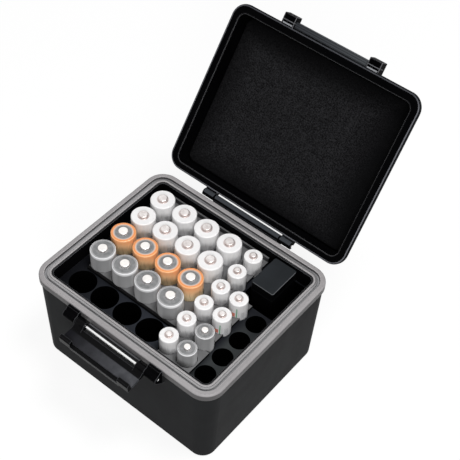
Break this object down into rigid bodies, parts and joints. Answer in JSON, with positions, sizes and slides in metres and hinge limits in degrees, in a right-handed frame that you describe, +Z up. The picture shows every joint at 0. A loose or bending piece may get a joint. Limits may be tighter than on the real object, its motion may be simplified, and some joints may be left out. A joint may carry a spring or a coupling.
{
  "type": "hinged battery storage case",
  "caption": "Hand-sized hinged-lid storage case, open, with a socket tray holding AA and AAA cells, a small block in a compartment, and a pinned front latch.",
  "frame": {"origin": "centre of the case's flat bottom face, which is z = 0", "axes": "+X along the hinge, to the right seen from the latch; +Y from the latch towards the hinge; +Z up"},
  "size_m": [0.1254, 0.197, 0.1552],
  "materials": {
    "black_case": "moulded, fine satin texture",
    "black_lid": "moulded, fine satin texture",
    "black_latch": "moulded, satin",
    "rim_grey": "moulded, satin",
    "seal_grey": "soft, matt",
    "foam": "dark foam, matt, speckled",
    "steel": "drawn wire, polished",
    "tray_black": "moulded, matt",
    "plate_grey": "matt",
    "block_black": "moulded, satin",
    "block_cap": "moulded, satin",
    "can_metal": "plated can end",
    "washer_grey": "pressed ring, matt",
    "label_white": "plain shrink label",
    "label_orange": "plain shrink label",
    "label_grey": "plain shrink label"
  },
  "bodies": {
    "base": {"base_shell": "black_case", "rim_frame": "rim_grey", "seal_ring": "seal_grey", "hinge_pin": "steel", "latch_pin": "steel", "base_pad": "foam"},
    "lid": {"lid_shell": "black_lid", "lid_pad": "foam"},
    "latch": {"latch_lever": "black_latch"},
    "tray": {"tray_aa_block": "tray_black", "tray_aa_front_left": "tray_black", "tray_aa_front_right": "tray_black", "tray_aaa_left_column": "tray_black", "tray_aaa_middle_column": "tray_black", "tray_aaa_right_column": "tray_black", "tray_compartment": "tray_black", "tray_border": "tray_black", "grey_plate_main": "plate_grey", "grey_plate_foot": "plate_grey"},
    "white_aa": {"aa_white_cans": "can_metal", "aa_white_sleeves": "label_white"},
    "orange_aa": {"aa_orange_cans": "can_metal", "aa_orange_sleeves": "label_orange", "aa_orange_washers": "washer_grey"},
    "grey_aa": {"aa_grey_cans": "can_metal", "aa_grey_sleeves": "label_grey", "aa_grey_washers": "washer_grey"},
    "white_aaa": {"aaa_white_cans": "can_metal", "aaa_white_sleeves": "label_white"},
    "grey_aaa": {"aaa_grey_cans": "can_metal", "aaa_grey_sleeves": "label_grey", "aaa_grey_washers": "washer_grey"},
    "block": {"accessory_body": "block_black", "accessory_cap": "block_cap"}
  },
  "joints": [
    {"name": "lid_hinge", "type": "hinge", "parent": "base", "child": "lid", "pos_m": [0, 0.0555, 0.0645], "axis": [1, 0, 0], "range_deg": [0, 125.6]},
    {"name": "latch_hinge", "type": "hinge", "parent": "base", "child": "latch", "pos_m": [0, -0.0565, 0.0601], "axis": [-1, 0, 0], "range_deg": [0, 104]},
    {"name": "tray_lift", "type": "slide", "parent": "base", "child": "tray", "axis": [0, 0, -1], "range_m": [-0.06, 0]},
    {"name": "white_aa_lift", "type": "slide", "parent": "tray", "child": "white_aa", "axis": [0, 0, -1], "range_m": [-0.05, 0]},
    {"name": "orange_aa_lift", "type": "slide", "parent": "tray", "child": "orange_aa", "axis": [0, 0, -1], "range_m": [-0.05, 0]},
    {"name": "grey_aa_lift", "type": "slide", "parent": "tray", "child": "grey_aa", "axis": [0, 0, -1], "range_m": [-0.05, 0]},
    {"name": "white_aaa_lift", "type": "slide", "parent": "tray", "child": "white_aaa", "axis": [0, 0, -1], "range_m": [-0.045, 0]},
    {"name": "grey_aaa_lift", "type": "slide", "parent": "tray", "child": "grey_aaa", "axis": [0, 0, -1], "range_m": [-0.045, 0]},
    {"name": "block_lift", "type": "slide", "parent": "tray", "child": "block", "axis": [0, 0, -1], "range_m": [-0.05, 0]}
  ]
}
